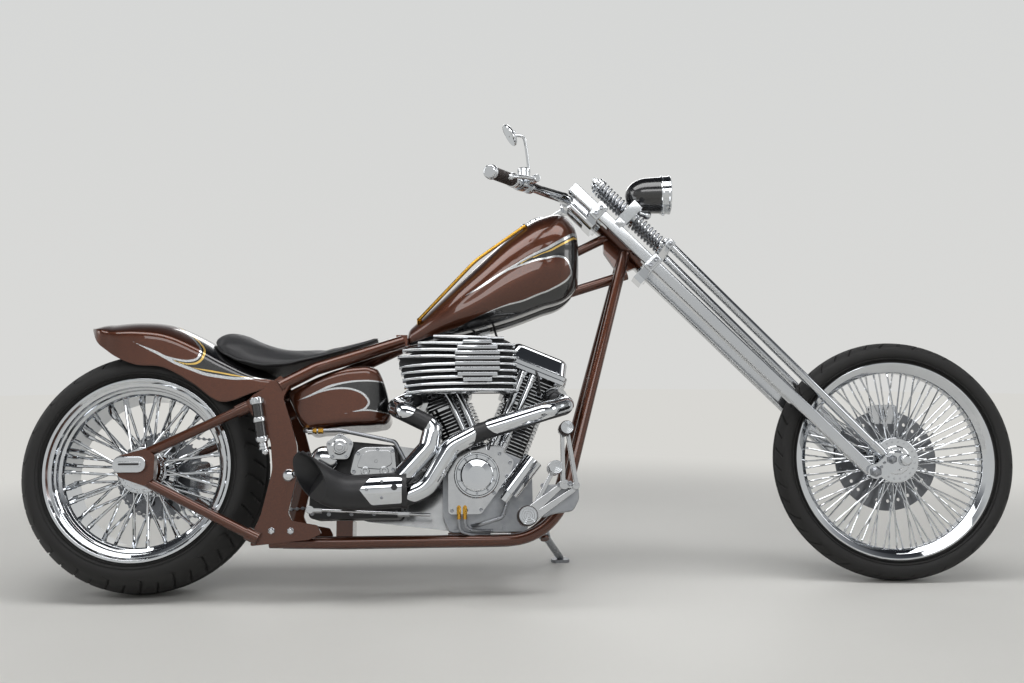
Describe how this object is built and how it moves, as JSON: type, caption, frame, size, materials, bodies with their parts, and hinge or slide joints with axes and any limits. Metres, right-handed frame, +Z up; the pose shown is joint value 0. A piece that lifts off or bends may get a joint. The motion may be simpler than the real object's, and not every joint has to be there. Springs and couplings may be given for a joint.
{
  "type": "chopper motorcycle",
  "caption": "Long rigid style chopper motorcycle on its side stand, with a raked leading link springer fork, V twin engine, wide rear tyre and low seat.",
  "frame": {"origin": "bottom centre of the bounding box, on the floor the tyres and the stand rest on", "axes": "+X forward, +Y to the machine's left, where its stand is, +Z up; the machine leans towards +Y"},
  "size_m": [2.755, 0.9844, 1.2721],
  "materials": {
    "brown_paint": "metallic gloss",
    "black_paint": "gloss",
    "chrome": "mirror",
    "polished_aluminium": "polished",
    "cast_aluminium": "satin cast",
    "steel": "satin",
    "brass": "polished",
    "tyre_rubber": "matt",
    "grip_rubber": "matt",
    "seat_leather": "satin",
    "black_ceramic": "satin",
    "lamp_glass": "clear"
  },
  "bodies": {
    "main_frame": {"backbone": "black_paint", "cradle": "brown_paint", "side_plates": "brown_paint", "rear_stays": "brown_paint", "rear_axle": "chrome", "rear_fender": "brown_paint", "fuel_tank": "brown_paint", "seat": "seat_leather", "oil_tank": "brown_paint", "sight_tube": "brass", "crankcase": "cast_aluminium", "cylinder_front": "cast_aluminium", "cylinder_rear": "cast_aluminium", "rocker_boxes": "chrome", "pushrod_tubes": "chrome", "gearcase_cover": "polished_aluminium", "air_cleaner": "polished_aluminium", "carburettor": "cast_aluminium", "exhaust_pipes": "chrome", "muffler": "black_ceramic", "collector_shield": "chrome", "transmission": "polished_aluminium", "primary_cover": "polished_aluminium", "oil_filter": "chrome", "oil_lines": "brass", "motor_mount": "polished_aluminium", "reservoir": "black_paint", "foot_controls": "polished_aluminium", "drive_chain": "steel", "rear_caliper": "polished_aluminium"},
    "rear_wheel": {"rear_tyre": "tyre_rubber", "rear_rim": "chrome", "rear_spokes": "chrome", "rear_sprocket": "steel"},
    "fork": {"fork_trees": "chrome", "fork_legs": "chrome", "spring_legs": "chrome", "rockers": "chrome", "spring_perch": "chrome", "fork_springs": "steel", "front_axle": "chrome", "handlebar": "chrome", "grips": "grip_rubber", "hand_controls": "chrome", "mirror": "chrome", "headlamp": "black_paint", "headlamp_lens": "lamp_glass", "front_caliper": "polished_aluminium"},
    "front_wheel": {"front_tyre": "tyre_rubber", "front_rim": "chrome", "front_spokes": "chrome", "front_disc": "steel"},
    "side_stand_leg": {"side_stand": "steel"}
  },
  "joints": [
    {"name": "steering", "type": "hinge", "parent": "main_frame", "child": "fork", "pos_m": [0.292, -0.0309, 0.96451], "axis": [-0.7008, 0.1422, 0.6991], "range_deg": [-22.8, 37.2]},
    {"name": "front_wheel_spin", "type": "hinge", "parent": "fork", "child": "front_wheel", "pos_m": [1.03997, -0.16929, 0.33695], "axis": [0.0894, 0.9897, -0.1117], "continuous": true},
    {"name": "rear_wheel_spin", "type": "hinge", "parent": "main_frame", "child": "rear_wheel", "pos_m": [-1.05256, -0.16161, 0.32234], "axis": [0, 0.9799, -0.1994], "continuous": true},
    {"name": "side_stand_fold", "type": "hinge", "parent": "main_frame", "child": "side_stand_leg", "pos_m": [0.0474, -0.04051, 0.11479], "axis": [-0.0976, 0.6056, 0.7898], "range_deg": [0, 104.7]}
  ]
}
